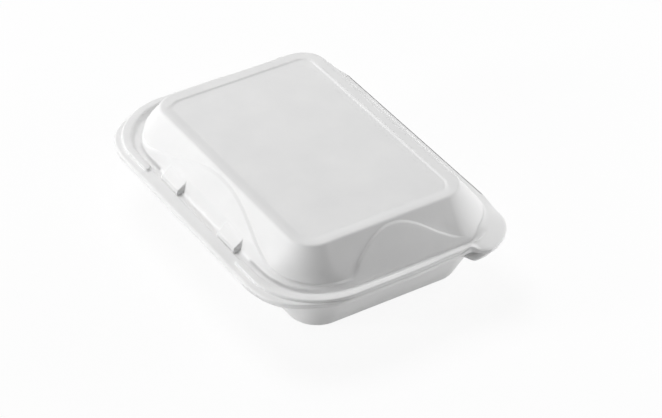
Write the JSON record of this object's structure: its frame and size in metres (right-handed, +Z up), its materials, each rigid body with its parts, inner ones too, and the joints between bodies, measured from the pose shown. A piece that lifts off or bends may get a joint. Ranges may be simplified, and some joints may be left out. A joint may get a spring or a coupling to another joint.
{
  "type": "hinged takeaway food container",
  "caption": "White moulded foam food box: a deep tray with a shallow hinged lid, raised rim bead, wavy wall ledge and corner lobes for opening.",
  "frame": {"origin": "middle of the closed box's footprint, on the surface that the tray stands on", "axes": "+X along the fold, +Y towards the fold, +Z up"},
  "size_m": [0.241, 0.161, 0.063],
  "materials": {
    "foam": "matte, fine closed-cell skin"
  },
  "bodies": {
    "tray": {"tray": "foam"},
    "lid": {"lid": "foam"}
  },
  "joints": [
    {"name": "lid_hinge", "type": "hinge", "parent": "tray", "child": "lid", "pos_m": [0, 0.0808, 0.03905], "axis": [-1, 0, 0], "range_deg": [0, 180]}
  ]
}
